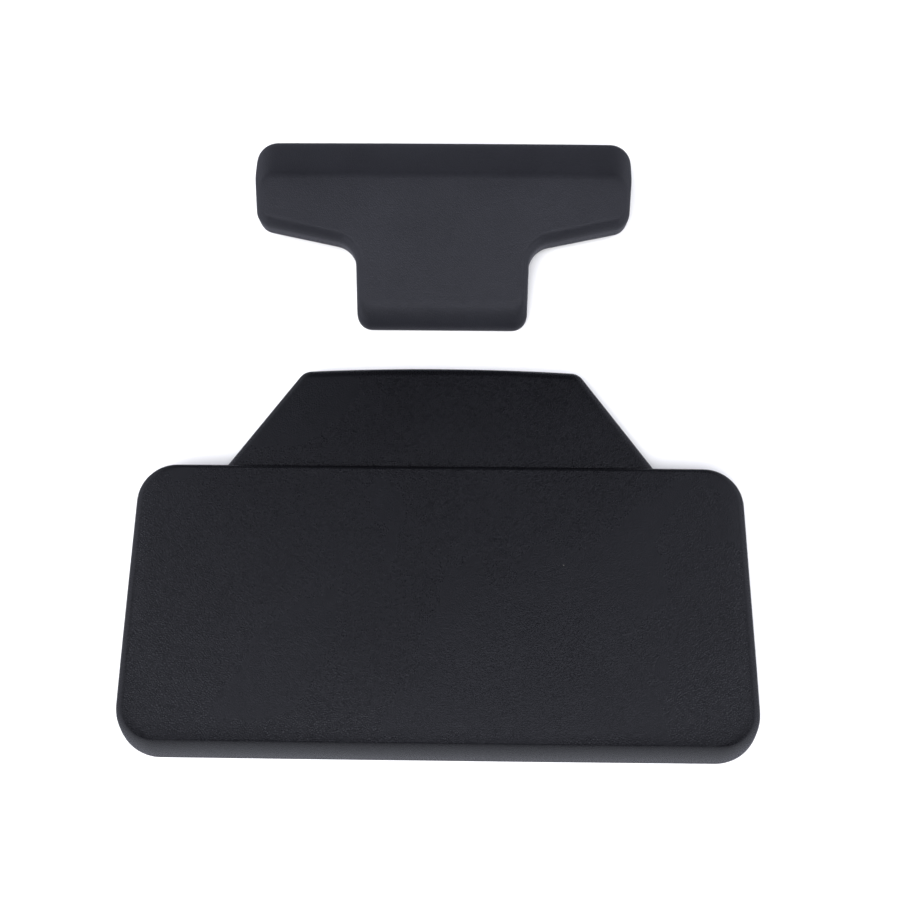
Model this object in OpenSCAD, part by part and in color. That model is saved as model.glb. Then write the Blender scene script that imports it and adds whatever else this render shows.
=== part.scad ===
// Two-piece stick-on backrest pad set, lying face up.
// X runs across the pads, Y up the backrest, Z out of the faces.
// Z = 0 is the surface that the release liners lie on, and the origin is the
// middle of the set's footprint.

/* [Back pad cushion] */
// Width of the cushion along its lower edge
cushion_low_w = 363; // [350:1:440]
// Width of the cushion along its upper edge
cushion_top_w = 350; // [340:1:430]
// Height of the cushion
cushion_h = 166; // [140:1:210]
// Thickness of the cushion, from the board's back to the middle of its face
cushion_t = 21.5; // [17:0.5:30]
// How much the face falls from its middle to its left and right edges
cushion_crown = 1.5; // [0:0.25:3]
// Plan radius of the two lower corners
cushion_low_r = 27; // [14:1:40]
// Plan radius of the two upper corners
cushion_top_r = 22; // [14:1:40]
// Radius of the soft roll along the lower edge
cushion_low_roll = 11; // [6:0.5:11]

/* [Back pad panel] */
// Width of the thin panel where it meets the cushion
panel_low_w = 251; // [208:1:302]
// Width of the thin panel along its upper edge
panel_top_w = 162; // [140:1:200]
// Height of the thin panel, up to the middle of its bowed upper edge
panel_h = 60; // [45:1:80]
// Thickness of the thin panel, from the board's back to its face
panel_t = 16; // [12:0.5:18]
// Rise of the bowed upper edge from its corners to its middle
panel_bow = 2; // [0:0.5:6]
// Plan radius of the two upper corners
panel_corner_r = 9; // [6:0.5:14]

/* [Upper pad] */
// Gap between the two pads as they lie
pad_gap = 26.6; // [10:0.1:60]
// Width of the crossbar along its upper edge
bar_top_w = 231; // [205:1:278]
// Width of the crossbar at its lower outer corners
bar_low_w = 224; // [200:1:270]
// Height of the crossbar at its outer ends
bar_end_h = 55; // [45:0.5:64]
// Height of the crossbar where the stem leaves it
bar_root_h = 67.5; // [64.5:0.5:78]
// Height of the whole upper pad
upper_h = 115.5; // [99:0.5:140]
// Width of the stem where it leaves the crossbar
stem_top_w = 104.6; // [90:0.2:130]
// Width of the stem at its lower edge
stem_low_w = 101.8; // [84:0.2:124]
// Thickness at the crest, from the board's back
crest_t = 30; // [27:0.5:36]
// Distance from the upper edge down to the crest
crest_back = 27; // [22:1:32]
// Thickness at the upper edge, where the sloped back starts
upper_edge_t = 17; // [8:0.5:18]
// Thickness of the face at the lower edge of the stem, before its roll
stem_end_t = 12; // [11.5:0.5:16]
// Radius of the round crest
crest_r = 12; // [4:1:18]
// Radius of the soft roll along the lower edge of the stem
stem_low_roll = 8; // [6.5:0.5:8]
// Plan radius of the crossbar's upper corners
bar_top_r = 12.5; // [8:0.5:16]
// Plan radius of the crossbar's lower outer corners
bar_low_r = 9; // [7:0.5:14]
// Plan radius of the inner corners between crossbar and stem
root_r = 15; // [6:1:20]
// Plan radius of the stem's lower corners
stem_low_r = 9; // [7:0.5:14]

/* [Skin and boards] */
// Thickness of the moulded skins
skin = 1.2; // [0.8:0.1:2]
// Radius of the small roll round all the other edges of the faces
edge_roll = 6; // [3:0.5:6.5]
// Thickness of the backing boards
board_t = 2.6; // [1.5:0.1:2.8]
// Diameter of the keying holes that the foam fills
key_d = 12; // [6:0.5:16]

/* [Adhesive strips] */
// Length of the strips behind the cushion
long_strip = 90; // [60:1:92]
// Length of the strips behind the panel and the upper pad
short_strip = 60; // [40:1:64]
// Width of every strip
strip_w = 25; // [15:0.5:30]
// Thickness of the foam tape
tape_t = 1.1; // [0.8:0.1:2]
// Thickness of the release liners
liner_t = 0.15; // [0.1:0.025:0.3]
// Width of a liner's peel tab
tab_w = 14; // [9:0.5:18]
// Length of a liner's peel tab
tab_l = 9; // [5:0.5:10]

/* [Hidden] */
$fn = 48;
liner_margin = 0.5;           // a liner's overhang round its strip
strip_r = 2;                  // corner radius of a strip
tab_r = 4;                    // corner radius of a peel tab
overrun = 1;                  // cutters run this far past what they cut
back_z = liner_t + tape_t;    // the plane of both boards' backs
board_top = back_z + board_t;

// Places along Y, from the lower edge of the set to its upper edge.
total_h = cushion_h + panel_h + pad_gap + upper_h;
cushion_y0 = -total_h / 2;
cushion_y1 = cushion_y0 + cushion_h;
panel_y1 = cushion_y1 + panel_h;
upper_y1 = total_h / 2;
upper_y0 = upper_y1 - upper_h;
crest_y = upper_y1 - crest_back;

// ---- Outlines ----
// A form is mirrored about X = 0, so its outline is the right half, from the lower edge up:
// corners [x, y, radius, steps along the straight edge to the next corner].

CUSHION = [
    [cushion_low_w / 2, cushion_y0, cushion_low_r, 6],
    [cushion_top_w / 2, cushion_y1, cushion_top_r, 1]
];
PANEL = [
    [panel_low_w / 2, cushion_y1, 0, 3],
    [panel_top_w / 2, panel_y1 - panel_bow, panel_corner_r, 1]
];
UPPER = [
    [stem_low_w / 2, upper_y0, stem_low_r, 2],
    [stem_top_w / 2, upper_y1 - bar_root_h, root_r, 2],
    [bar_low_w / 2, upper_y1 - bar_end_h, bar_low_r, 1],
    [bar_top_w / 2, upper_y1, bar_top_r, 1]
];

ARC_STEPS = 5;                // facets round each corner of an outline
COLUMNS = 8;                  // facets across a face
LEVELS = 5;                   // facets up an edge roll
WALL = 100;                   // a depth that is below every roll and slope

// ---- Faces: height above Z = 0 at a place, and what each edge does below the face ----

function crowned(x, half_w, fall) = -fall * pow(x / half_w, 2);
function cushion_face(p) =
    back_z + cushion_t + crowned(p[0], cushion_low_w / 2, cushion_crown);
function panel_face(p) = back_z + panel_t;
function upper_face(p) = back_z + crest_t
    - (crest_t - stem_end_t) * max(0, (crest_y - p[1]) / (crest_y - upper_y0));

// How far a quarter-round of radius r has drawn in, at a depth below the face.
function roll(r, depth) = depth >= r ? 0 : r - sqrt(r * r - pow(r - depth, 2));

// How far the sloped back has drawn in, on a surface moved in by d: an upright edge, then a
// straight slope that runs into the round crest.
back_slope = atan((crest_t - upper_edge_t) / crest_back);
function slope(depth, d) = let (r = crest_r - d)
    depth < r * (1 - cos(back_slope))
        ? crest_back + crest_r * tan(back_slope / 2) - sqrt(r * r - pow(r - depth, 2))
        : max(d, crest_back + d / sin(back_slope) - (depth + d) / tan(back_slope));
// The depth at which that slope leaves the upright edge.
function slope_foot(d) =
    (crest_back + d / sin(back_slope) - d) * tan(back_slope) - d;

// Insets of the edges of each outline at a depth below the face moved in by d:
// lower edge, the edges up the right side in turn, upper edge.
function cushion_insets(depth, d) = let (side = d + roll(edge_roll - d, depth))
    [d + roll(cushion_low_roll - d, depth), side, side];
function panel_insets(depth, d) = let (side = d + roll(edge_roll - d, depth)) [d, side, side];
function upper_insets(depth, d) = let (side = d + roll(edge_roll - d, depth))
    [d + roll(stem_low_roll - d, depth), side, side, side, slope(depth, d)];

// ---- Outline geometry ----

function unit(v) = v / norm(v);
function left(v) = [-v[1], v[0]];
function place(c) = [c[0], c[1]];
function way(o, i) = i == 0 ? [1, 0] : i == len(o) ? [-1, 0] : unit(place(o[i]) - place(o[i - 1]));
function turn(a, b) = atan2(a[0] * b[1] - a[1] * b[0], a * b);

// Corner i of an outline whose edges have moved in, as the points of its arc.
function arc(o, i, insets) = let (
    a = way(o, i), b = way(o, i + 1), t = turn(a, b), side = sign(t),
    p = place(o[i]) + (insets[i] * b - insets[i + 1] * a) / sin(t),
    r = o[i][2] == 0 ? 0 : max(0.2, o[i][2] - side * min(insets[i], insets[i + 1])),
    centre = p - r * tan(abs(t) / 2) * a + side * r * left(a),
    from = atan2(a[1], a[0]) - side * 90,
    steps = o[i][2] == 0 ? 0 : ARC_STEPS
) [for (k = [0 : steps]) let (f = from + (steps == 0 ? 0 : t * k / steps))
    centre + r * [cos(f), sin(f)]];

// The right side of an outline, with steps along its straight edges.
function right_side(o, insets) = let (arcs = [for (i = [0 : len(o) - 1]) arc(o, i, insets)]) [
    for (i = [0 : len(o) - 1]) each concat(arcs[i], i == len(o) - 1 ? [] :
        let (p = arcs[i][len(arcs[i]) - 1], q = arcs[i + 1][0])
        [for (k = [1 : 1 : o[i][3] - 1]) p + (q - p) * k / o[i][3]])
];

function mirrored(p) = [-p[0], p[1]];
function columns(p, bow) = [for (k = [1 : COLUMNS - 1])
    let (s = 2 * k / COLUMNS - 1) [p[0] * s, p[1] + bow * (1 - s * s)]];

// A whole ring: lower edge, right side, upper edge, left side, counterclockwise.
function ring(o, insets, bow) = let (r = right_side(o, insets), n = len(r))
    concat(columns(r[0], 0), r, [for (k = [COLUMNS - 2 : -1 : 0]) columns(r[n - 1], bow)[k]],
        [for (k = [n - 1 : -1 : 0]) mirrored(r[k])]);

// ---- Soft forms ----
// Form 0 is the cushion, 1 the panel and 2 the upper pad. A form's surface is a stack of
// rings, and a grid across the top ring.

function insets_of(form, depth, d) = form == 0 ? cushion_insets(depth, d)
    : form == 1 ? panel_insets(depth, d) : upper_insets(depth, d);
function face_of(form, p) = form == 0 ? cushion_face(p)
    : form == 1 ? panel_face(p) : upper_face(p);
function outline_of(form) = [CUSHION, PANEL, UPPER][form];
function bow_of(form) = [0, panel_bow, 0][form];
function full_t(form) = [cushion_t, panel_t, crest_t][form];
function widest_roll(form) = [cushion_low_roll, edge_roll, stem_low_roll][form];

// Depths of the rings below the face, for a surface moved in by d: the foot of the sloped
// back, then even turns round the widest roll.
function depths(form, d) = concat(
    form == 2 ? [slope_foot(d)] : [],
    [for (k = [0 : LEVELS]) (widest_roll(form) - d) * (1 - sin(90 * k / LEVELS))]);

// Below the rolls, a depth is shared out over the wall that is left at that place.
function level(form, p, depth, d, base) = let (
    face = face_of(form, p) - d,
    soft = widest_roll(form) - d,
    here = face - base - soft,
    full = back_z + full_t(form) - d - base - soft
) depth <= soft ? face - depth : face - soft - (depth - soft) * here / full;

function rings(form, d, base) = let (o = outline_of(form), bow = bow_of(form)) concat(
    [[for (p = ring(o, insets_of(form, WALL, d), bow)) [p[0], p[1], base]]],
    [for (depth = depths(form, d)) [for (p = ring(o, insets_of(form, depth, d), bow))
        [p[0], p[1], level(form, p, depth, d, base)]]]);

// ---- Meshes of rings ----

function rows(form) = len(right_side(outline_of(form), insets_of(form, WALL, 0)));
function ring_size(form) = 2 * rows(form) + 2 * (COLUMNS - 1);

// Points inside a ring, in rows between its mirrored sides: at height flat_z, or where that
// is 0, at the face.
function grid(form, top, d, flat_z) = let (n = rows(form), first = COLUMNS - 1)
    [for (k = [1 : n - 2]) for (c = [1 : COLUMNS - 1])
        let (r = top[first + k], s = 2 * c / COLUMNS - 1, p = [r[0] * s, r[1]])
        [p[0], p[1], flat_z > 0 ? flat_z : face_of(form, p) - d]];

// Where grid point (row k, column c) is in a list whose ring starts at `at` and whose
// inner points start at `inner`.
function grid_at(form, k, c, at, inner) = let (n = rows(form), f = COLUMNS - 1)
    c == COLUMNS ? at + f + k
    : c == 0 ? at + 2 * f + 2 * n - 1 - k
    : k == 0 ? at + c - 1
    : k == n - 1 ? at + f + n + (COLUMNS - 1 - c)
    : inner + (k - 1) * f + c - 1;

function quad(a, b, c, d, flip) = flip ? [[a, c, b], [a, d, c]] : [[a, b, c], [a, c, d]];

function cap_faces(form, at, inner, flip) = [
    for (k = [0 : rows(form) - 2]) for (c = [0 : COLUMNS - 1])
        each quad(grid_at(form, k, c, at, inner), grid_at(form, k + 1, c, at, inner),
            grid_at(form, k + 1, c + 1, at, inner), grid_at(form, k, c + 1, at, inner), flip)
];

function wall_faces(form, low, high, flip) = let (n = ring_size(form)) [
    for (k = [0 : n - 1]) let (m = (k + 1) % n)
        each quad(low + k, high + k, high + m, low + m, flip)
];

function joined(list) = [for (l = list) each l];

// A solid whose base is flat: the foam under the skin.
module soft_solid(form, d, base) {
    r = rings(form, d, base);
    n = ring_size(form);
    top = len(r) - 1;
    points = concat(joined(r), grid(form, r[top], d, 0), grid(form, r[0], d, base));
    inner = n * len(r);
    faces = concat(
        joined([for (j = [0 : top - 1]) wall_faces(form, j * n, (j + 1) * n, false)]),
        cap_faces(form, top * n, inner, false),
        cap_faces(form, 0, inner + (rows(form) - 2) * (COLUMNS - 1), true));
    polyhedron(points, faces, convexity = 4);
}

// A moulded skin of even thickness, open at the back.
module soft_skin(form) {
    out = rings(form, 0, back_z);
    in = rings(form, skin, back_z);
    n = ring_size(form);
    top = len(out) - 1;
    cap = (rows(form) - 2) * (COLUMNS - 1);
    in_at = n * len(out) + cap;
    points = concat(joined(out), grid(form, out[top], 0, 0),
        joined(in), grid(form, in[top], skin, 0));
    faces = concat(
        joined([for (j = [0 : top - 1]) wall_faces(form, j * n, (j + 1) * n, false)]),
        cap_faces(form, top * n, n * len(out), false),
        joined([for (j = [0 : top - 1])
            wall_faces(form, in_at + j * n, in_at + (j + 1) * n, true)]),
        cap_faces(form, in_at + top * n, in_at + n * len(in), true),
        wall_faces(form, in_at, 0, false));
    polyhedron(points, faces, convexity = 6);
}

// The hollow of a skin as a flat shape: what the board fills.
module hollow_plan(form) {
    polygon(ring(outline_of(form), insets_of(form, WALL, skin), bow_of(form)));
}

// ---- Places behind the pads ----

cushion_mid = (cushion_y0 + cushion_y1) / 2;
panel_mid = (cushion_y1 + panel_y1) / 2;
bar_mid = upper_y1 - bar_end_h / 2;
stem_mid = (upper_y0 + upper_y1 - bar_root_h) / 2;
clear = 3;                    // least space between strips, tabs and keying holes
bar_strip_in = 14;            // how far inside the crossbar's end a strip stops

strip_pitch = long_strip + 2 * (tab_l + clear - liner_margin);
strip_row = (cushion_h - strip_w) / 2 - cushion_low_r;
panel_strip_x = short_strip / 2 + tab_l + key_d / 2 + clear;
bar_strip_x = bar_low_w / 2 - bar_strip_in - short_strip / 2;

// Strips as [x, y, length].
BACK_STRIPS = concat(
    [for (row = [-1, 1]) for (col = [-1 : 1])
        [col * strip_pitch, cushion_mid + row * strip_row, long_strip]],
    [for (side = [-1, 1]) [side * panel_strip_x, panel_mid, short_strip]]);
UPPER_STRIPS = [
    [-bar_strip_x, bar_mid, short_strip],
    [bar_strip_x, bar_mid, short_strip],
    [0, stem_mid, short_strip]
];

// Keying holes as [x, y].
key_pitch = strip_pitch / 2 + key_d;
BACK_KEYS = concat([for (k = [-2 : 2]) [k * key_pitch, cushion_mid]], [[0, panel_mid]]);
UPPER_KEYS = [[0, bar_mid + key_d], [0, bar_mid - key_d]];

module keys(places, z, h) {
    for (p = places) translate([p[0], p[1], z]) cylinder(d = key_d, h = h);
}

// Where the cushion meets the panel, the board runs on under both skins.
bridge_in = 8;                // how far inside the panel's lower corners it stops
module board_bridge(past) {
    w = panel_low_w - 2 * bridge_in;
    translate([-w / 2, cushion_y1 - skin - past, back_z - past])
        cube([w, 2 * (skin + past), board_t + past]);
}

// ---- Skins ----

module cushion_skin() {
    color([0.13, 0.13, 0.14]) difference() {
        soft_skin(0);
        board_bridge(overrun);
    }
}

module panel_skin() {
    color([0.12, 0.12, 0.13]) difference() {
        soft_skin(1);
        board_bridge(overrun);
    }
}

module upper_skin() {
    color([0.14, 0.14, 0.15]) soft_skin(2);
}

// ---- Foam cores: each runs down through the board's keying holes ----

module foam(form, places) {
    color([0.3, 0.3, 0.29]) union() {
        soft_solid(form, skin, board_top);
        keys(places, back_z, board_t + overrun);
    }
}

module cushion_foam() {
    foam(0, [for (p = BACK_KEYS) if (p[1] < cushion_y1) p]);
}

module panel_foam() {
    foam(1, [for (p = BACK_KEYS) if (p[1] > cushion_y1) p]);
}

module upper_foam() {
    foam(2, UPPER_KEYS);
}

// ---- Backing boards ----

module back_board() {
    color([0.08, 0.08, 0.08]) difference() {
        union() {
            translate([0, 0, back_z]) linear_extrude(board_t) hollow_plan(0);
            translate([0, 0, back_z]) linear_extrude(board_t) hollow_plan(1);
            board_bridge(0);
        }
        keys(BACK_KEYS, back_z - overrun, board_t + 2 * overrun);
    }
}

module upper_board() {
    color([0.08, 0.08, 0.08]) difference() {
        translate([0, 0, back_z]) linear_extrude(board_t) hollow_plan(2);
        keys(UPPER_KEYS, back_z - overrun, board_t + 2 * overrun);
    }
}

// ---- Adhesive strips and their liners ----

// A flat rectangle with round corners, about its own middle.
module round_rect(w, h, r) {
    square([w - 2 * r, h], center = true);
    square([w, h - 2 * r], center = true);
    for (x = [-1, 1]) for (y = [-1, 1])
        translate([x * (w / 2 - r), y * (h / 2 - r)]) circle(r);
}

module tape(strip) {
    color([0.2, 0.2, 0.21]) translate([strip[0], strip[1], liner_t])
        linear_extrude(tape_t) round_rect(strip[2], strip_w, strip_r);
}

// A liner covers its strip, and its peel tab points at the middle of the pad.
module liner(strip) {
    w = strip[2] + 2 * liner_margin;
    toward = strip[0] > 0 ? -1 : 1;
    color([0.78, 0.12, 0.1]) translate([strip[0], strip[1], 0]) linear_extrude(liner_t) {
        round_rect(w, strip_w + 2 * liner_margin, strip_r);
        translate([toward * (w - tab_l) / 2, 0]) round_rect(3 * tab_l, tab_w, tab_r);
    }
}

// ---- Nodes ----

cushion_skin();
panel_skin();
cushion_foam();
panel_foam();
back_board();
upper_skin();
upper_foam();
upper_board();
for (k = [1 : len(BACK_STRIPS)]) {
    tape(BACK_STRIPS[k - 1]);
    liner(BACK_STRIPS[k - 1]);
}
for (k = [1 : len(UPPER_STRIPS)]) {
    tape(UPPER_STRIPS[k - 1]);
    liner(UPPER_STRIPS[k - 1]);
}
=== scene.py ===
"""Looks of the two-piece stick-on backrest pad set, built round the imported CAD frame.

Lengths in the form data are millimetres, and MM turns them into the frame's metres.
"""

import math

import bpy
import numpy as np
from mathutils import Euler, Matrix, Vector
from mathutils.geometry import tessellate_polygon


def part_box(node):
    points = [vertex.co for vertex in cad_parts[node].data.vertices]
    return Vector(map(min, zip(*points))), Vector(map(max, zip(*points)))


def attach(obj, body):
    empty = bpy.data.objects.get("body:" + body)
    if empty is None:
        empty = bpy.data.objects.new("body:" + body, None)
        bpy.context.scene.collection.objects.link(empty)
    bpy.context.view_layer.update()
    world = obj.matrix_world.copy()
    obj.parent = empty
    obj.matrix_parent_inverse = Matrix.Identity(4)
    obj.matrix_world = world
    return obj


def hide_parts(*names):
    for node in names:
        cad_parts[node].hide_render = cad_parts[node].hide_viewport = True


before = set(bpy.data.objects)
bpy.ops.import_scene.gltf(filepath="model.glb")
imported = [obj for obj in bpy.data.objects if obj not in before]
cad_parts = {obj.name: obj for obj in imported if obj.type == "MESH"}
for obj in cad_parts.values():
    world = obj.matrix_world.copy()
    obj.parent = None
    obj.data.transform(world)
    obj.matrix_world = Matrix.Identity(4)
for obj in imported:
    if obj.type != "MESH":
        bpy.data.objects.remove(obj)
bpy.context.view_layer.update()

MM = 0.001

# ---- Sizes that the frame doesn't say, in millimetres ----

SKIN = 1.2              # thickness of the moulded skins
FOAM_CLEAR = 0.1        # the foam's surface stays this far inside its skin
BRIDGE_HALF = 117.5     # half the width over which the board runs on under the seam
BOARD_ROUND = 0.35      # round on the edges of a board
ARC_STEPS = 14          # facets round a corner of an outline
ROLL_STEPS = 12         # facets up an edge roll
WALL_RINGS = 16         # rings between the foot of the sloped back and the rolls
FOOT_RINGS = 11         # rings from the base up to where the curl of a wall ends
WALL = 100.0            # a depth below every roll
CURL = 1.8              # power that puts most of a wall's curl near its foot
RIM_FADE = 0.7          # power by which the rim's share falls from the base up to the face
LINK = 6.0              # points of one plug's rim lie closer together than this
LEVEL_WITH = 0.05       # points no higher than this above the back lie in its plane
HOLE_SIDES = 48         # facets round a keying hole
PLUG_SIDES = 40         # facets round a plug
PLUG_DOME = 0.35        # height of the middle of a plug's end above the back
PLUG_TOP = 3.2          # height above the back at which a plug ends, inside its core
GRAIN = 1.15            # size of a cell of the leather grain
SPECK_CELLS = 70.0      # cells to the metre, each of which may hold a speck of dust


def box_mm(node):
    low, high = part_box(node)
    return np.array(low) / MM, np.array(high) / MM


cushion_low, cushion_high = box_mm("cushion_skin")
panel_low, panel_high = box_mm("panel_skin")
upper_low, upper_high = box_mm("upper_skin")
board_low, board_high = box_mm("back_board")
BACK_Z = board_low[2]
BOARD_TOP = board_high[2]


# ---- Outline geometry ----


def left(v):
    return np.array([-v[1], v[0]])


def turn_of(a, b):
    return math.atan2(a[0] * b[1] - a[1] * b[0], float(a @ b))


class Outline:
    """The right half of a mirrored outline, from the lower edge up.

    Corners are (x, y, radius, spacing of points on the straight edge above).
    """

    def __init__(self, corners, bow=0.0, columns=40):
        self.corners = corners
        self.bow = bow
        self.columns = columns
        points = [np.array(c[:2], float) for c in corners]
        ways = [(b - a) / np.linalg.norm(b - a) for a, b in zip(points, points[1:])]
        self.points = points
        self.ways = [np.array([1.0, 0.0])] + ways + [np.array([-1.0, 0.0])]

    def arc(self, i, insets):
        """Corner i as the points of its arc, once each edge has moved in by its inset."""
        a, b = self.ways[i], self.ways[i + 1]
        turn = turn_of(a, b)
        side = math.copysign(1.0, turn)
        p = self.points[i] + (insets[i] * b - insets[i + 1] * a) / math.sin(turn)
        radius = self.corners[i][2]
        if radius == 0:
            return [p]
        r = max(0.2, radius - side * min(insets[i], insets[i + 1]))
        centre = p - r * math.tan(abs(turn) / 2) * a + side * r * left(a)
        start = math.atan2(a[1], a[0]) - side * math.pi / 2
        angles = [start + turn * k / ARC_STEPS for k in range(ARC_STEPS + 1)]
        return [centre + r * np.array([math.cos(f), math.sin(f)]) for f in angles]

    def right_side(self, insets):
        arcs = [self.arc(i, insets) for i in range(len(self.corners))]
        full = [self.arc(i, [0.0] * (len(self.corners) + 1)) for i in range(len(self.corners))]
        side = []
        for i, points in enumerate(arcs):
            side += points
            if i + 1 < len(arcs):
                p, q = points[-1], arcs[i + 1][0]
                length = np.linalg.norm(full[i + 1][0] - full[i][-1])
                steps = max(1, round(length / self.corners[i][3]))
                side += [p + (q - p) * k / steps for k in range(1, steps)]
        return np.array(side)

    def ring(self, insets):
        """The whole ring, counterclockwise: lower edge, right side, upper edge, left side."""
        side = self.right_side(insets)
        s = np.linspace(-1, 1, self.columns + 1)[1:-1]
        lower = np.c_[side[0, 0] * s, np.full(len(s), side[0, 1])]
        upper = np.c_[side[-1, 0] * s[::-1], side[-1, 1] + self.bow * (1 - s**2)]
        mirror = side[::-1] * [-1, 1]
        return np.concatenate([lower, side, upper, mirror])


class Edge:
    """An edge roll, from the face's rim down to the wall.

    The rim lies `wide` in from the wall, and the wall begins `deep` below the face. The curve
    is a superellipse: bulge 2 is a quarter-round, and less is closer to a bevel.
    """

    def __init__(self, wide, deep, bulge=2.0):
        self.wide, self.deep, self.bulge = wide, deep, bulge

    def inset(self, depth, d):
        """How far the surface that lies d inside has drawn in, at a depth below its face."""
        wide, deep, n = self.wide - d, self.deep - d, self.bulge
        if depth >= deep:
            return d
        return d + wide * (1 - (1 - ((deep - depth) / deep) ** n) ** (1 / n))


def smooth(t):
    t = np.clip(t, 0, 1)
    return t * t * (3 - 2 * t)


class Form:
    """A soft form: an outline, a face height, and what each edge does below the face.

    Each wall swells out by its tuck, from the base up to where the edge's roll begins, so
    that the pad's edge curls in behind it. `insets` and `tucks` have one value for each edge
    of the right half, from the lower edge up. `widest` is the greatest depth of any roll.
    """

    def __init__(self, outline, face, insets, tucks, widest, foot=None):
        self.outline = outline
        self.face = face
        self.insets = insets
        self.tucks = tucks
        self.widest = widest
        self.foot = foot

    def depths(self, d):
        """Depths of the rings below the face, from the lowest up, with a sloped back's first."""
        soft = self.widest - d
        turns = [soft * (1 - math.sin(math.pi / 2 * k / ROLL_STEPS)) for k in range(ROLL_STEPS + 1)]
        if not self.foot:
            return turns
        return list(np.linspace(self.foot(d) + FOOT_SOFT, soft, WALL_RINGS)[:-1]) + turns

    def ring(self, depth, d, tuck=0.0):
        return self.outline.ring([i + t * tuck for i, t in zip(self.insets(depth, d), self.tucks)])

    def rings(self, d, base):
        """Rings of the surface that lies d inside the form, from its base to its face."""
        foot = self.ring(WALL, d, 1)
        low = base(foot)
        made = [np.c_[foot, low]]
        soft = self.widest - d
        depths = self.depths(d)
        for t in np.linspace(0, 1, FOOT_RINGS)[1:-1]:
            xy = self.ring(WALL, d, (1 - t) ** CURL)
            high = self.level(xy, depths[0], d, BOARD_TOP, soft)
            made.append(np.c_[xy, low + (high - low) * t])
        for depth in depths:
            xy = self.ring(depth, d)
            made.append(np.c_[xy, self.level(xy, depth, d, BOARD_TOP, soft)])
        return made

    def level(self, xy, depth, d, base, soft):
        """Heights at a depth; below the rolls, a depth is shared out over the wall that is left."""
        top = self.face(xy[:, 0], xy[:, 1]) - d
        if depth <= soft:
            return top - depth
        share = (top - base - soft) / (self.peak() - d - base - soft)
        return top - soft - (depth - soft) * share

    def peak(self):
        ring = self.outline.ring(self.insets(WALL, 0))
        return float(self.face(ring[:, 0] * 0, ring[:, 1]).max())

    def rows(self):
        return len(self.outline.right_side(self.insets(WALL, 0)))

    def inner(self, top, height):
        """Points across the inside of a ring, row by row, between its mirrored sides."""
        first = self.outline.columns - 1
        side = top[first : first + self.rows()]
        s = np.linspace(-1, 1, self.outline.columns + 1)[1:-1]
        x = side[1:-1, :1] * s
        y = np.repeat(side[1:-1, 1:2], len(s), axis=1)
        if self.outline.bow:
            rise = smooth((y - side[0, 1]) / (side[-1, 1] - side[0, 1]))
            y = y + self.outline.bow * (1 - s**2) * rise
        z = height(x, y)
        return np.stack([x, y, z], -1).reshape(-1, 3)

    def cap(self, at, inner, flip):
        """Faces across a ring that starts at point `at`, whose inside starts at `inner`."""
        c, n = self.outline.columns, self.rows()
        f = c - 1

        def index(k, j):
            if j == c:
                return at + f + k
            if j == 0:
                return at + 2 * f + 2 * n - 1 - k
            if k == 0:
                return at + j - 1
            if k == n - 1:
                return at + f + n + c - 1 - j
            return inner + (k - 1) * f + j - 1

        faces = []
        for k in range(n - 1):
            for j in range(c):
                q = (index(k, j), index(k, j + 1), index(k + 1, j + 1), index(k + 1, j))
                faces.append(q[::-1] if flip else q)
        return faces


def wall(n, low, high, flip=False):
    """Faces between two rings of n points."""
    faces = []
    for k in range(n):
        m = (k + 1) % n
        q = (low + k, low + m, high + m, high + k)
        faces.append(q[::-1] if flip else q)
    return faces


# ---- The three forms, in millimetres ----

CUSHION_LOW_HALF = 182.4    # half width of the cushion's lower edge, with its corners square
CUSHION_TOP_HALF = 175.3    # half width of its upper edge, with its corners square
CUSHION_CROWN_HALF = 181.5  # half width over which its face falls to the sides
CUSHION_CROWN = 1.5         # fall of its face from the middle to the sides
CUSHION_FALL = 1.0          # fall of its face from the middle to the lower edge
BROW = 12.0                 # how far up from the lower edge the face has dipped 1 mm more
BROW_SOFT = 8.0             # length over which that dip shrinks to a third
CUSHION_PROUD = 0.9         # how far its lower edge stands past the frame's
PANEL_PROUD = 0.3           # how far the panel's lower corners stand past the frame's, sideways
PANEL_TOP_HALF = 81.5       # half width of the panel's upper edge, with its corners square
PANEL_BOW = 2.0             # how far the middle of that edge bows up
PANEL_CROWN = 0.8           # fall of the panel's face from the middle to the sides
PANEL_FALL = 0.5            # fall of its face from the seam to the upper edge
STEM_PROUD = 0.5            # how far the stem's lower end stands past the frame's
STEM_LOW_HALF = 51.2        # half width of the stem's lower end, with its corners square
STEM_HIGH_HALF = 52.6       # half width where the stem meets the arms
ARM_LOW_HALF = 112.2        # half width at the arms' lower corners
ARM_TOP_HALF = 115.1        # half width of the upper edge
STEM_DROP = 67.5            # from the upper edge down to where the stem meets the arms
ARM_DROP = 55.0             # from the upper edge down to the arms' lower corners
UPPER_CROWN_HALF = 117.5    # half width over which the upper pad's face falls to the sides
UPPER_CROWN = 0.9           # fall of its face from the middle to the ends of the arms

cushion_mid = (cushion_low[1] + cushion_high[1]) / 2
cushion_half = (cushion_high[1] - cushion_low[1]) / 2


def ripple(x, y, height):
    """The slow unevenness of a moulded face."""
    first = np.sin(x / 17.0 + 1.3 * np.sin(y / 23.0)) * np.cos(y / 14.0 + 0.4)
    second = np.sin(x / 31.0 - y / 19.0 + 2.0)
    return height * (first + second) / 2


def cushion_face(x, y):
    """Flat in the middle, with a slow fall to the sides and a dip along the lower edge."""
    across = -CUSHION_CROWN * np.abs(x / CUSHION_CROWN_HALF) ** 2.2
    down = -CUSHION_FALL * np.clip((cushion_mid - y) / cushion_half, 0, 1) ** 2.5
    down -= np.exp((cushion_low[1] + BROW - np.maximum(y, cushion_low[1])) / BROW_SOFT)
    return cushion_high[2] + across + down + ripple(x, y, 0.14)


SIDE = Edge(6.5, 7.0)
FRONT = Edge(12.5, 15.0, 1.2)
SEAM = Edge(2.0, 2.8)


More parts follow.
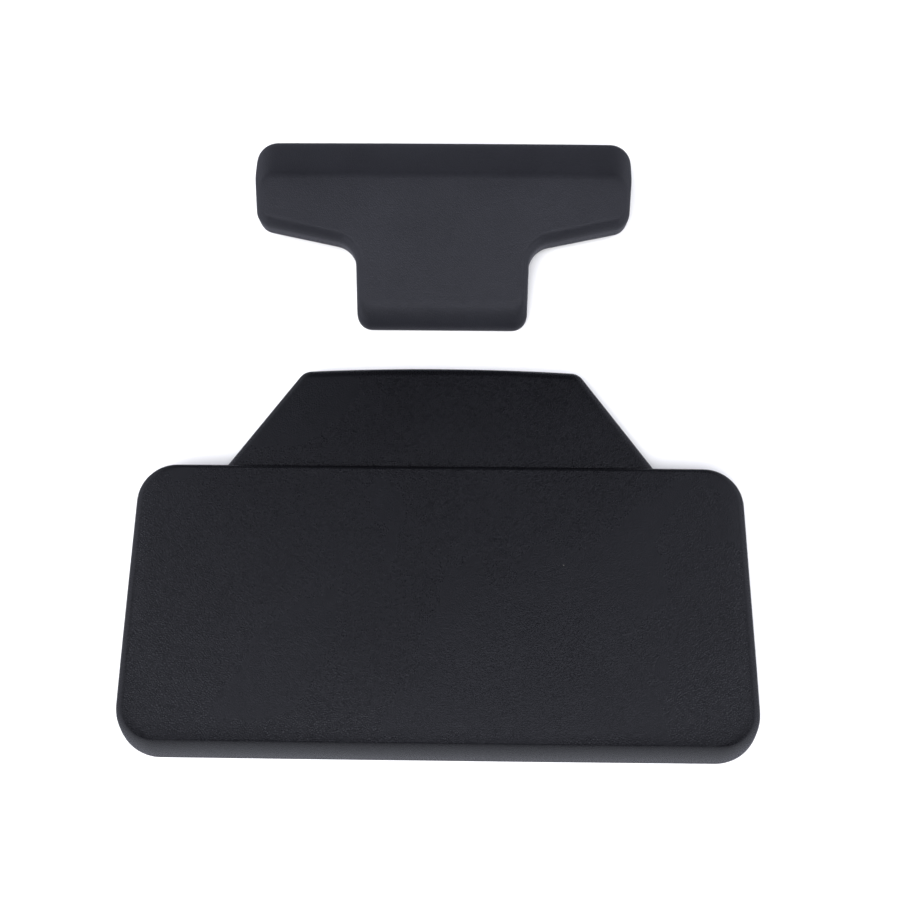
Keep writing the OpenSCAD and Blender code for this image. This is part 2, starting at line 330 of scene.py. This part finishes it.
def cushion_insets(depth, d):
    return [FRONT.inset(depth, d), SIDE.inset(depth, d), SEAM.inset(depth, d)]


PANEL_SIDE = Edge(5.0, 6.0)


def panel_face(x, y):
    """Nearly flat, with a slow fall to the sides and to the upper edge."""
    t = np.clip((y - panel_low[1]) / (panel_high[1] - panel_low[1]), 0, 1)
    across = -PANEL_CROWN * (x / panel_high[0]) ** 2
    return panel_high[2] + across - PANEL_FALL * t**2 + ripple(x, y, 0.1)


def panel_insets(depth, d):
    side = PANEL_SIDE.inset(depth, d)
    return [d, side, side]


CREST_BACK = 27.0       # from the upper edge down to the crest
CREST_R = 12.0          # radius of the round crest
CREST_T = 30.0          # thickness at the crest
EDGE_T = 17.0           # height of the upright upper edge
STEM_END_T = 12.0       # thickness of the face at the stem's lower edge
CREST_SOFT = 9.0        # length over which the face starts to fall
FOOT_SOFT = 4.0         # softness of the edge where the slope meets the upright edge
BACK_SLOPE = math.atan((CREST_T - EDGE_T) / CREST_BACK)
STEM_FRONT = Edge(15.0, 9.0)
UPPER_SIDE = Edge(4.2, 7.0)
ARM_FRONT = Edge(5.0, 7.0)


def upper_face(x, y):
    """Highest along the crest, with a straight fall to the end of the stem."""
    crest_y = upper_high[1] - CREST_BACK
    fall = (CREST_T - STEM_END_T) / (crest_y - upper_low[1])
    s = crest_y - y
    down = fall * (s + np.sqrt(s**2 + CREST_SOFT**2)) / 2
    across = -UPPER_CROWN * np.abs(x / UPPER_CROWN_HALF) ** 2.4
    return BACK_Z + CREST_T - down + across + ripple(x + 40, y, 0.1)


def slope(depth, d):
    """How far the sloped back has drawn in: an upright edge, then a slope into the crest."""
    r = CREST_R - d
    if depth < r * (1 - math.cos(BACK_SLOPE)):
        lead = CREST_BACK + CREST_R * math.tan(BACK_SLOPE / 2)
        return lead - math.sqrt(r * r - (r - depth) ** 2)
    fall = (depth + d) / math.tan(BACK_SLOPE)
    straight = CREST_BACK + d / math.sin(BACK_SLOPE) - fall
    return (d + straight + math.hypot(straight - d, FOOT_SOFT)) / 2


def slope_foot(d):
    """Depth at which the sloped back of the surface d inside meets the upright upper edge."""
    return (CREST_BACK + d / math.sin(BACK_SLOPE) - d) * math.tan(BACK_SLOPE) - d


def upper_insets(depth, d):
    side = UPPER_SIDE.inset(depth, d)
    return [STEM_FRONT.inset(depth, d), side, ARM_FRONT.inset(depth, d), side, slope(depth, d)]


def at_upper(drop):
    """Place along Y of what lies `drop` below the upper pad's upper edge."""
    return upper_high[1] - drop


CUSHION = Form(
    Outline(
        [
            (CUSHION_LOW_HALF, cushion_low[1] - CUSHION_PROUD, 22.5, 7),
            (CUSHION_TOP_HALF, cushion_high[1], 22, 7),
        ],
        columns=52,
    ),
    cushion_face,
    cushion_insets,
    tucks=[0.8, 2.4, 0],
    widest=15.0,
)
PANEL = Form(
    Outline(
        [
            (panel_high[0] + PANEL_PROUD, panel_low[1], 0, 6),
            (PANEL_TOP_HALF, panel_high[1] - PANEL_BOW, 9, 6),
        ],
        bow=PANEL_BOW,
        columns=36,
    ),
    panel_face,
    panel_insets,
    tucks=[0, 2.0, 1.5],
    widest=6.0,
)
UPPER = Form(
    Outline(
        [
            (STEM_LOW_HALF, upper_low[1] - STEM_PROUD, 9, 5),
            (STEM_HIGH_HALF, at_upper(STEM_DROP), 15, 5),
            (ARM_LOW_HALF, at_upper(ARM_DROP), 10, 5),
            (ARM_TOP_HALF, at_upper(0), 12.5, 5),
        ],
        columns=40,
    ),
    upper_face,
    upper_insets,
    tucks=[0.9, 2.4, 5.5, 2.4, 1.5],
    widest=9.0,
    foot=slope_foot,
)


# ---- Meshes of the forms ----


def make_object(name, points, faces, material, rim=None, crease=50):
    """An object from points in millimetres, smooth but for edges sharper than `crease` degrees."""
    mesh = bpy.data.meshes.new(name)
    mesh.from_pydata([tuple(float(v) * MM for v in p) for p in points], [], faces)
    mesh.validate()
    mesh.polygons.foreach_set("use_smooth", [True] * len(mesh.polygons))
    mesh.set_sharp_from_angle(angle=math.radians(crease))
    if rim is not None:
        mesh.attributes.new("rim", "FLOAT", "POINT").data.foreach_set("value", rim)
    mesh.materials.append(material)
    obj = bpy.data.objects.new(name, mesh)
    bpy.context.scene.collection.objects.link(obj)
    return obj


def on_board(xy):
    """The foam cores stand on the board."""
    return np.full(len(xy), BOARD_TOP + FOAM_CLEAR)


def on_back(xy):
    """The skins end level with the board's back, or on the board where it runs on past them."""
    seam = (np.abs(xy[:, 1] - cushion_high[1]) < 2 * SKIN) & (np.abs(xy[:, 0]) < BRIDGE_HALF)
    return np.where(seam, BOARD_TOP + FOAM_CLEAR / 2, BACK_Z)


def skin_mesh(name, form, material):
    """A skin of even thickness, open at the back where the board sits."""
    points, faces, rim = [], [], []
    for d, flip in ((0.0, False), (SKIN, True)):
        at = len(points)
        rings = form.rings(d, on_back)
        n = len(rings[0])
        for ring in rings:
            points += list(ring)
        top = at + n * (len(rings) - 1)
        for j in range(len(rings) - 1):
            faces += wall(n, at + j * n, at + (j + 1) * n, flip)
        inner = len(points)
        points += list(form.inner(rings[-1], lambda x, y: form.face(x, y) - d))
        faces += form.cap(top, inner, flip)
        steps = np.repeat(np.linspace(1, 0, len(rings)) ** RIM_FADE, n)
        rim += list(steps) + [0.0] * (len(points) - inner)
        if flip:
            faces += wall(n, at, 0)
    return make_object(name, points, faces, material, rim)


def foam_mesh(name, form, plugs, material):
    """The foam under a skin, with the plugs that fill the board's keying holes."""
    d = SKIN + FOAM_CLEAR
    rings = form.rings(d, on_board)
    n = len(rings[0])
    points, faces = [], []
    for ring in rings:
        points += list(ring)
    top = n * (len(rings) - 1)
    for j in range(len(rings) - 1):
        faces += wall(n, j * n, (j + 1) * n)
    inner = len(points)
    points += list(form.inner(rings[-1], lambda x, y: form.face(x, y) - d))
    faces += form.cap(top, inner, False)
    inner = len(points)
    points += list(form.inner(rings[0], lambda x, y: 0 * x + BOARD_TOP + FOAM_CLEAR))
    faces += form.cap(0, inner, True)
    for centre, radius in plugs:
        plug_points, plug_faces = plug_mesh(centre, radius, len(points))
        points += plug_points
        faces += plug_faces
    return make_object(name, points, faces, material)


def board_mesh(name, outline, holes, material):
    """A flat board with a small round on its edges, and the keying holes through it."""
    loops = [outline]
    for centre, radius in holes:
        angles = np.linspace(0, -2 * math.pi, HOLE_SIDES, endpoint=False)
        loops.append(centre + radius * np.c_[np.cos(angles), np.sin(angles)])
    levels = [
        (BACK_Z, BOARD_ROUND),
        (BACK_Z + BOARD_ROUND, 0.0),
        (BOARD_TOP - BOARD_ROUND, 0.0),
        (BOARD_TOP, BOARD_ROUND),
    ]
    points, faces, starts = [], [], []
    for z, draw in levels:
        starts.append(len(points))
        for loop in loops:
            moved = loop + drawn_in(loop, draw)
            points += list(np.c_[moved, np.full(len(loop), z)])
    for low, high in zip(starts, starts[1:]):
        at = 0
        for loop in loops:
            faces += wall(len(loop), low + at, high + at)
            at += len(loop)
    for triangle in tessellate_polygon([[Vector((*p, 0)) for p in loop] for loop in loops]):
        faces.append(tuple(starts[-1] + i for i in triangle))
        faces.append(tuple(starts[0] + i for i in triangle[::-1]))
    return make_object(name, points, faces, material, crease=35)


def drawn_in(loop, amount):
    """Shifts that draw a closed loop in towards its left, which is the board's solid side."""
    along = np.roll(loop, -1, axis=0) - np.roll(loop, 1, axis=0)
    along /= np.linalg.norm(along, axis=1)[:, None]
    return amount * np.c_[-along[:, 1], along[:, 0]]


def back_outline():
    """The cushion's hollow and the panel's hollow, joined across the seam."""
    low = CUSHION.ring(WALL, SKIN, 1)
    high = PANEL.ring(WALL, SKIN, 1)
    start = CUSHION.outline.columns - 1 + CUSHION.rows()
    edge = low[start - 1, 1]
    before = low[:start]
    after = low[start + CUSHION.outline.columns - 1 :]
    lead = high[PANEL.outline.columns - 1 :]
    lead = lead[lead[:, 1] > cushion_high[1] + 2 * SKIN]
    bridge = [[BRIDGE_HALF, edge], [BRIDGE_HALF, cushion_high[1] + SKIN]]
    back = [[-x, y] for x, y in bridge[::-1]]
    return np.concatenate([before, bridge, lead, back, after])


# Share of a plug's radius, and height above the back.
PLUG_PROFILE = [(0.35, 0.32), (0.7, 0.22), (0.9, 0.06), (0.98, 0.18), (0.985, 0.6), (0.985, PLUG_TOP)]


def plug_mesh(centre, radius, at):
    """A plug of foam in a keying hole: its end is a little domed, and its edge is soft."""
    angles = np.linspace(0, 2 * math.pi, PLUG_SIDES, endpoint=False)
    circle = np.c_[np.cos(angles), np.sin(angles)]
    points = [np.array([*centre, BACK_Z + PLUG_DOME])]
    for share, height in PLUG_PROFILE:
        ring = centre + radius * share * circle
        points += list(np.c_[ring, np.full(PLUG_SIDES, BACK_Z + height)])
    points.append(np.array([*centre, BACK_Z + PLUG_TOP]))
    starts = [at + 1 + j * PLUG_SIDES for j in range(len(PLUG_PROFILE))]
    faces = []
    for low, high in zip(starts, starts[1:]):
        faces += wall(PLUG_SIDES, low, high)
    for k in range(PLUG_SIDES):
        m = (k + 1) % PLUG_SIDES
        faces.append((at, starts[0] + m, starts[0] + k))
        faces.append((starts[-1] + k, starts[-1] + m, at + len(points) - 1))
    return points, faces


def plugs_of(node):
    """(centre, radius) of each plug of a CAD foam: its round ends in the plane of the back."""
    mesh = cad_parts[node].data
    ends = np.array([v.co.xy for v in mesh.vertices if v.co.z / MM < BACK_Z + LEVEL_WITH]) / MM
    found = []
    while len(ends):
        group = np.arange(len(ends)) == 0
        grown = 0
        while grown < group.sum():
            grown = group.sum()
            group = (np.linalg.norm(ends[:, None] - ends[None, group], axis=2) < LINK).any(axis=1)
        low, high = ends[group].min(axis=0), ends[group].max(axis=0)
        found.append(((low + high) / 2, float((high - low).max() / 2)))
        ends = ends[~group]
    return found


# ---- Materials ----


class Nodes:
    """Short calls for building a node tree."""

    def __init__(self, tree):
        self.tree = tree

    def add(self, kind, **values):
        node = self.tree.nodes.new(kind)
        for key, value in values.items():
            setattr(node, key, value)
        return node

    def link(self, source, target):
        self.tree.links.new(source, target)

    def noise(self, scale, detail=4.0, rough=0.5, distortion=0.0):
        node = self.add("ShaderNodeTexNoise")
        node.inputs["Scale"].default_value = scale
        node.inputs["Detail"].default_value = detail
        node.inputs["Roughness"].default_value = rough
        node.inputs["Distortion"].default_value = distortion
        self.link(self.place, node.inputs["Vector"])
        return node.outputs["Fac"]

    def cells(self, scale, feature="F1", randomness=1.0, output="Distance", vector=None):
        node = self.add("ShaderNodeTexVoronoi", feature=feature)
        node.inputs["Scale"].default_value = scale
        node.inputs["Randomness"].default_value = randomness
        self.link(vector or self.place, node.inputs["Vector"])
        return node.outputs[output]

    def warped(self, scale, amount):
        """The place, pushed about by noise, so that cells aren't straight-sided."""
        node = self.add("ShaderNodeTexNoise")
        node.inputs["Scale"].default_value = scale
        self.link(self.place, node.inputs["Vector"])
        shift = self.add("ShaderNodeVectorMath", operation="SCALE")
        self.link(node.outputs["Color"], shift.inputs[0])
        shift.inputs["Scale"].default_value = amount
        total = self.add("ShaderNodeVectorMath", operation="ADD")
        self.link(self.place, total.inputs[0])
        self.link(shift.outputs[0], total.inputs[1])
        return total.outputs[0]

    def ramp(self, source, low, high, to_low=0.0, to_high=1.0):
        node = self.add("ShaderNodeMapRange", interpolation_type="SMOOTHSTEP")
        ends = {"From Min": low, "From Max": high, "To Min": to_low, "To Max": to_high}
        for key, value in ends.items():
            node.inputs[key].default_value = value
        self.link(source, node.inputs["Value"])
        return node.outputs["Result"]

    def math(self, operation, a, b):
        node = self.add("ShaderNodeMath", operation=operation)
        for socket, value in zip(node.inputs, (a, b)):
            if isinstance(value, (int, float)):
                socket.default_value = value
            else:
                self.link(value, socket)
        return node.outputs[0]

    def mix(self, share, a, b):
        node = self.add("ShaderNodeMix", data_type="RGBA")
        self.link(share, node.inputs["Factor"])
        for socket, value in zip((node.inputs[6], node.inputs[7]), (a, b)):
            if isinstance(value, tuple):
                socket.default_value = (*value, 1.0)
            else:
                self.link(value, socket)
        return node.outputs[2]

    def attribute(self, name):
        return self.add("ShaderNodeAttribute", attribute_name=name).outputs["Fac"]


class Material(Nodes):
    """A material's tree, whose textures follow the place on the object."""

    def __init__(self, name):
        self.material = bpy.data.materials.new(name)
        self.material.use_nodes = True
        super().__init__(self.material.node_tree)
        self.shader = self.tree.nodes["Principled BSDF"]
        self.place = self.add("ShaderNodeTexCoord").outputs["Object"]

    def bump(self, height, strength, distance, after=None):
        node = self.add("ShaderNodeBump")
        node.inputs["Strength"].default_value = strength
        node.inputs["Distance"].default_value = distance
        self.link(height, node.inputs["Height"])
        if after is not None:
            self.link(after, node.inputs["Normal"])
        return node.outputs["Normal"]

    def finish(self, colour, roughness, normal, **constants):
        self.link(colour, self.shader.inputs["Base Color"])
        self.link(roughness, self.shader.inputs["Roughness"])
        self.link(normal, self.shader.inputs["Normal"])
        for key, value in constants.items():
            self.shader.inputs[key.replace("_", " ")].default_value = value
        return self.material


def leather_grain(n):
    """The crests between the creases, and the height of the whole grain."""
    scale = 1 / (GRAIN * MM)
    warped = n.warped(scale * 0.45, 0.9 * GRAIN * MM)
    crest = n.ramp(n.cells(scale, "DISTANCE_TO_EDGE", vector=warped), 0.0, 0.22)
    pebble = n.ramp(n.cells(scale, "SMOOTH_F1", vector=warped), 0.9, 0.0)
    tooth = n.noise(scale * 3.0, detail=3.0, rough=0.6)
    height = n.math("ADD", n.math("MULTIPLY", crest, 0.7), n.math("MULTIPLY", pebble, 0.4))
    return crest, n.math("ADD", height, n.math("MULTIPLY", tooth, 0.25))


def dust_specks(n):
    """Small dots in the few cells whose random colour is high in red."""
    dot = n.ramp(n.cells(SPECK_CELLS), 0.022, 0.006)
    chosen = n.add("ShaderNodeSeparateColor")
    n.link(n.cells(SPECK_CELLS, output="Color"), chosen.inputs[0])
    return n.math("MULTIPLY", dot, n.ramp(chosen.outputs["Red"], 0.962, 0.966))


def leather_material(name, dark, light, rough_range, gloss):
    """Moulded skin with a fine leather grain: round cells between thin creases."""
    n = Material(name)
    crest, grain = leather_grain(n)
    slow = n.noise(22, detail=4.0, rough=0.55)
    broad = n.noise(7, detail=3.0, rough=0.5, distortion=0.6)
    rim = n.ramp(n.attribute("rim"), 0.15, 0.75)
    normal = n.bump(slow, 0.06, 2.0 * MM)
    normal = n.bump(grain, 0.35, 0.2 * MM, after=normal)
    worn = n.math("MULTIPLY", crest, n.ramp(slow, 0.35, 0.75, 0.15, 0.5))
    colour = n.mix(n.ramp(broad, 0.3, 0.7), dark, light)
    colour = n.mix(worn, colour, tuple(c * 1.9 for c in light))
    # Painted sheen: the walls and rolls are painted lighter towards their foot, by the rim's share.
    colour = n.mix(n.math("MULTIPLY", rim, 0.35), colour, tuple(c * 1.6 for c in light))
    colour = n.mix(n.math("MULTIPLY", dust_specks(n), 0.8), colour, (0.32, 0.31, 0.29))
    rough = n.ramp(broad, 0.25, 0.75, *rough_range)
    rough = n.math("ADD", rough, n.math("MULTIPLY", crest, -0.06))
    rough = n.math("ADD", rough, n.math("MULTIPLY", rim, -0.05))
    return n.finish(colour, rough, normal, Specular_IOR_Level=gloss)


def foam_material():
    """Dark open-cell foam with fine pores."""
    n = Material("open_foam")
    pores = n.cells(1900, "SMOOTH_F1")
    small = n.noise(2600, detail=3.0)
    height = n.math("ADD", pores, n.math("MULTIPLY", small, 0.4))
    # Painted shade: each pore is painted darker towards its middle, where its pit is deepest.
    colour = n.mix(n.ramp(pores, 0.1, 0.7), (0.035, 0.035, 0.033), (0.1, 0.1, 0.096))
    colour = n.mix(n.ramp(n.noise(60), 0.3, 0.8), colour, (0.075, 0.074, 0.068))
    return n.finish(colour, n.ramp(small, 0.2, 0.8, 0.85, 0.98), n.bump(height, 0.5, 0.3 * MM))


def board_material():
    """Stiff black board with a fine stipple and faint flow marks."""
    n = Material("moulded_board")
    stipple = n.noise(2400, detail=2.0, rough=0.7)
    pits = n.cells(900, "SMOOTH_F1")
    flow = n.noise(9, detail=3.0, rough=0.5, distortion=1.6)
    scuffs = n.noise(140, detail=5.0, rough=0.7, distortion=2.5)
    height = n.math("ADD", stipple, n.math("MULTIPLY", pits, 0.5))
    normal = n.bump(height, 0.35, 0.12 * MM, after=n.bump(flow, 0.08, 1.5 * MM))
    colour = n.mix(n.ramp(flow, 0.3, 0.7), (0.011, 0.011, 0.012), (0.02, 0.02, 0.021))
    colour = n.mix(n.ramp(scuffs, 0.6, 0.85, 0.0, 0.35), colour, (0.06, 0.06, 0.062))
    return n.finish(colour, n.ramp(scuffs, 0.3, 0.8, 0.5, 0.68), normal)


def tape_material():
    """Dark foam tape, whose cut edge shows small bubbles."""
    n = Material("foam_tape")
    bubbles = n.cells(2600)
    fleck = n.noise(900, detail=3.0)
    colour = n.mix(n.ramp(fleck, 0.35, 0.7), (0.04, 0.04, 0.042), (0.085, 0.085, 0.088))
    return n.finish(colour, n.ramp(bubbles, 0.1, 0.7, 0.6, 0.8), n.bump(bubbles, 0.4, 0.15 * MM))


def liner_material():
    """Red release film: thin and glossy, with faint ripples and an embossed weave."""
    n = Material("release_film")
    ripples = n.noise(90, detail=3.0, rough=0.5, distortion=1.2)
    emboss = n.cells(700, randomness=0.0)
    normal = n.bump(emboss, 0.18, 0.05 * MM, after=n.bump(ripples, 0.35, 0.5 * MM))
    colour = n.mix(n.ramp(ripples, 0.3, 0.75), (0.34, 0.02, 0.018), (0.5, 0.035, 0.028))
    return n.finish(colour, n.ramp(n.noise(300), 0.3, 0.7, 0.22, 0.36), normal)


def floor_material():
    """Pale matt card."""
    n = Material("pale_floor")
    tone = n.ramp(n.noise(3, detail=2.0), 0.3, 0.7)
    colour = n.mix(tone, (0.92, 0.92, 0.92), (0.94, 0.94, 0.94))
    rough = n.ramp(n.noise(500), 0.3, 0.7, 0.55, 0.6)
    return n.finish(colour, rough, n.bump(n.noise(800), 0.02, 0.1 * MM))


def card_material():
    """Grey matt paper, for the reflector."""
    n = Material("grey_card")
    paper = n.noise(400)
    colour = n.mix(paper, (0.34, 0.35, 0.38), (0.38, 0.39, 0.42))
    return n.finish(colour, n.ramp(paper, 0, 1, 0.9, 1.0), n.bump(paper, 0.05, 0.1 * MM))


# The skins share one moulded material in two copies of different tone: this copy, for the cushion and
# panel, is painted darker as painted shade.
SHADED_LEATHER = leather_material(
    "moulded_skin_painted_shade",
    dark=(0.0013, 0.0013, 0.0019),
    light=(0.0022, 0.0023, 0.0032),
    rough_range=(0.31, 0.35),
    gloss=0.45,
)
# The upper pad's copy of the same material is painted lighter, as painted light.
LIT_UPPER_LEATHER = leather_material(
    "upper_moulded_skin_painted_light",
    dark=(0.0091, 0.0094, 0.0121),
    light=(0.0114, 0.0118, 0.015),
    rough_range=(0.36, 0.4),
    gloss=0.46,
)
FOAM = foam_material()
BOARD = board_material()
TAPE = tape_material()
LINER = liner_material()


# ---- The padded pieces ----

SKINS = {
    "cushion_skin": ("cushion_cover", CUSHION, SHADED_LEATHER, "back_pad"),
    "panel_skin": ("panel_cover", PANEL, SHADED_LEATHER, "back_pad"),
    "upper_skin": ("upper_cover", UPPER, LIT_UPPER_LEATHER, "upper_pad"),
}
FOAMS = {
    "cushion_foam": ("cushion_core", CUSHION, "back_pad"),
    "panel_foam": ("panel_core", PANEL, "back_pad"),
    "upper_foam": ("upper_core", UPPER, "upper_pad"),
}
for node, (name, form, leather, body) in SKINS.items():
    cover = skin_mesh(name, form, leather)
    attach(cover, body)
    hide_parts(node)
for node, (name, form, body) in FOAMS.items():
    core = foam_mesh(name, form, plugs_of(node), FOAM)
    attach(core, body)
    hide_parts(node)

BOARDS = {
    "back_board": ("back_backing", back_outline(), ("cushion_foam", "panel_foam"), "back_pad"),
    "upper_board": ("upper_backing", UPPER.ring(WALL, SKIN, 1), ("upper_foam",), "upper_pad"),
}
for node, (name, outline, foams, body) in BOARDS.items():
    holes = [hole for foam in foams for hole in plugs_of(foam)]
    board = board_mesh(name, outline, holes, BOARD)
    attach(board, body)
    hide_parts(node)

for node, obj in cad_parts.items():
    for key, material in (("tape", TAPE), ("liner", LINER)):
        if key in node:
            for item in obj.material_slots:
                item.material = material


# ---- Floor, light and camera ----

FLOOR_HALF = 4000.0         # half the width of the floor
FLOOR_DROP = 0.3            # the floor lies this far below the liners
CARD_HALF = 700.0           # half the width of the grey card
CARD_LONG = 600.0           # length of the card, towards the front
CARD_GAP = 3.0              # room between the card and the cushion's lower edge
GLOW = 1.85                 # strength of the bright band in the world
WHITE = 1.4                 # strength of the world where the camera sees it directly
SKY_TINT = (0.93, 0.95, 1.12)
LENS = 38.8
SENSOR = 36.0
CAMERA_ASIDE = 11.6         # how far the camera is to the right of the middle line
CAMERA_ALONG = 87.8         # how far it is up from the cushion's lower edge
CAMERA_HIGH = 576.3         # its height
CAMERA_TURN = (9.0, 0.5, 0.6)   # its tilt, roll and swing, in degrees


def flat_sheet(name, low, high, z, material):
    """A flat sheet between two corners, facing up."""
    points = [(low[0], low[1], z), (high[0], low[1], z), (high[0], high[1], z), (low[0], high[1], z)]
    return make_object(name, points, [(0, 1, 2, 3)], material)


def make_floor():
    low, high = (-FLOOR_HALF, -FLOOR_HALF), (FLOOR_HALF, FLOOR_HALF)
    floor = flat_sheet("floor", low, high, -FLOOR_DROP, floor_material())
    floor.visible_glossy = False


def make_sun(name, way, soft, power):
    """A soft even light from `way`, with no highlight of its own, because the world gives that."""
    data = bpy.data.lights.new(name, "SUN")
    data.angle = math.radians(soft)
    data.energy = power
    light = bpy.data.objects.new(name, data)
    light.rotation_euler = (-Vector(way)).to_track_quat("-Z", "Y").to_euler()
    light.visible_glossy = False
    bpy.context.scene.collection.objects.link(light)


def make_world():
    """A studio that is dark overhead and behind, bright above the front and the sides, and
    white where the camera looks past the pads."""
    world = bpy.data.worlds.new("studio")
    bpy.context.scene.world = world
    world.use_nodes = True
    n = Nodes(world.node_tree)
    parts = n.add("ShaderNodeSeparateXYZ")
    n.link(n.add("ShaderNodeTexCoord").outputs["Generated"], parts.inputs[0])
    x, y, z = parts.outputs
    seen = n.add("ShaderNodeLightPath").outputs["Is Camera Ray"]
    back = n.tree.nodes["Background"]
    level = n.math("ADD", n.math("ADD", front_band(n, x, y, z), low_light(n, y, z)), side_glow(n, x, z))
    n.link(n.mix(seen, SKY_TINT, (1.0, 1.0, 1.0)), back.inputs["Color"])
    n.link(n.math("MAXIMUM", level, n.math("MULTIPLY", seen, WHITE)), back.inputs["Strength"])


def front_band(n, x, y, z):
    """A bright oval band round a dark middle overhead, cut off behind and low down."""
    wide = n.math("MULTIPLY", x, 1.1)
    off = n.math("SUBTRACT", y, 0.3)
    square = n.math("ADD", n.math("MULTIPLY", wide, wide), n.math("MULTIPLY", off, off))
    apart = n.math("POWER", square, 0.5)
    band = n.math("MULTIPLY", n.ramp(apart, 0.4, 0.52), n.ramp(apart, 0.78, 0.6))
    front = n.math("MULTIPLY", n.ramp(y, 0.5, 0.15), n.ramp(z, 0.1, 0.5))
    return n.math("MULTIPLY", n.math("MULTIPLY", band, front), GLOW)


def low_light(n, y, z):
    """A weak light, weaker behind, that grows towards the horizon and goes on below it."""
    above = n.math("MULTIPLY", n.ramp(z, 0.0, 0.8, 0.22, 0.03), n.ramp(y, 0.0, 0.6, 1.0, 0.6))
    return n.math("ADD", above, n.ramp(z, -0.02, -0.25, 0.0, 0.22))


def side_glow(n, x, z):
    """A broad glow at each side, from the horizon up to half way overhead."""
    beside = n.ramp(n.math("ABSOLUTE", x, 0.0), 0.3, 0.8, 0.0, 0.75)
    return n.math("MULTIPLY", n.math("MULTIPLY", beside, n.ramp(z, 0.72, 0.5)), n.ramp(z, -0.05, 0.02))


def make_camera():
    data = bpy.data.cameras.new("camera")
    data.sensor_width = SENSOR
    data.lens = LENS
    data.clip_start = 0.01
    camera = bpy.data.objects.new("camera", data)
    place = (CAMERA_ASIDE, cushion_low[1] + CAMERA_ALONG, CAMERA_HIGH)
    camera.location = [v * MM for v in place]
    camera.rotation_euler = Euler([math.radians(a) for a in CAMERA_TURN])
    bpy.context.scene.collection.objects.link(camera)
    bpy.context.scene.camera = camera


def make_reflector():
    """A grey card that lies in front of the pads, and is seen only in their gloss."""
    front = cushion_low[1] - CARD_GAP
    low, high = (-CARD_HALF, front - CARD_LONG), (CARD_HALF, front)
    card = flat_sheet("reflector", low, high, 0.0, card_material())
    card.visible_camera = card.visible_diffuse = card.visible_shadow = False


make_floor()
make_reflector()
make_world()
make_sun("window", way=(-0.35, -0.55, 1.0), soft=50, power=2.9)
make_sun("ceiling", way=(0.1, 0.05, 1.0), soft=120, power=1.9)
make_camera()
bpy.context.scene.view_settings.view_transform = "Standard"
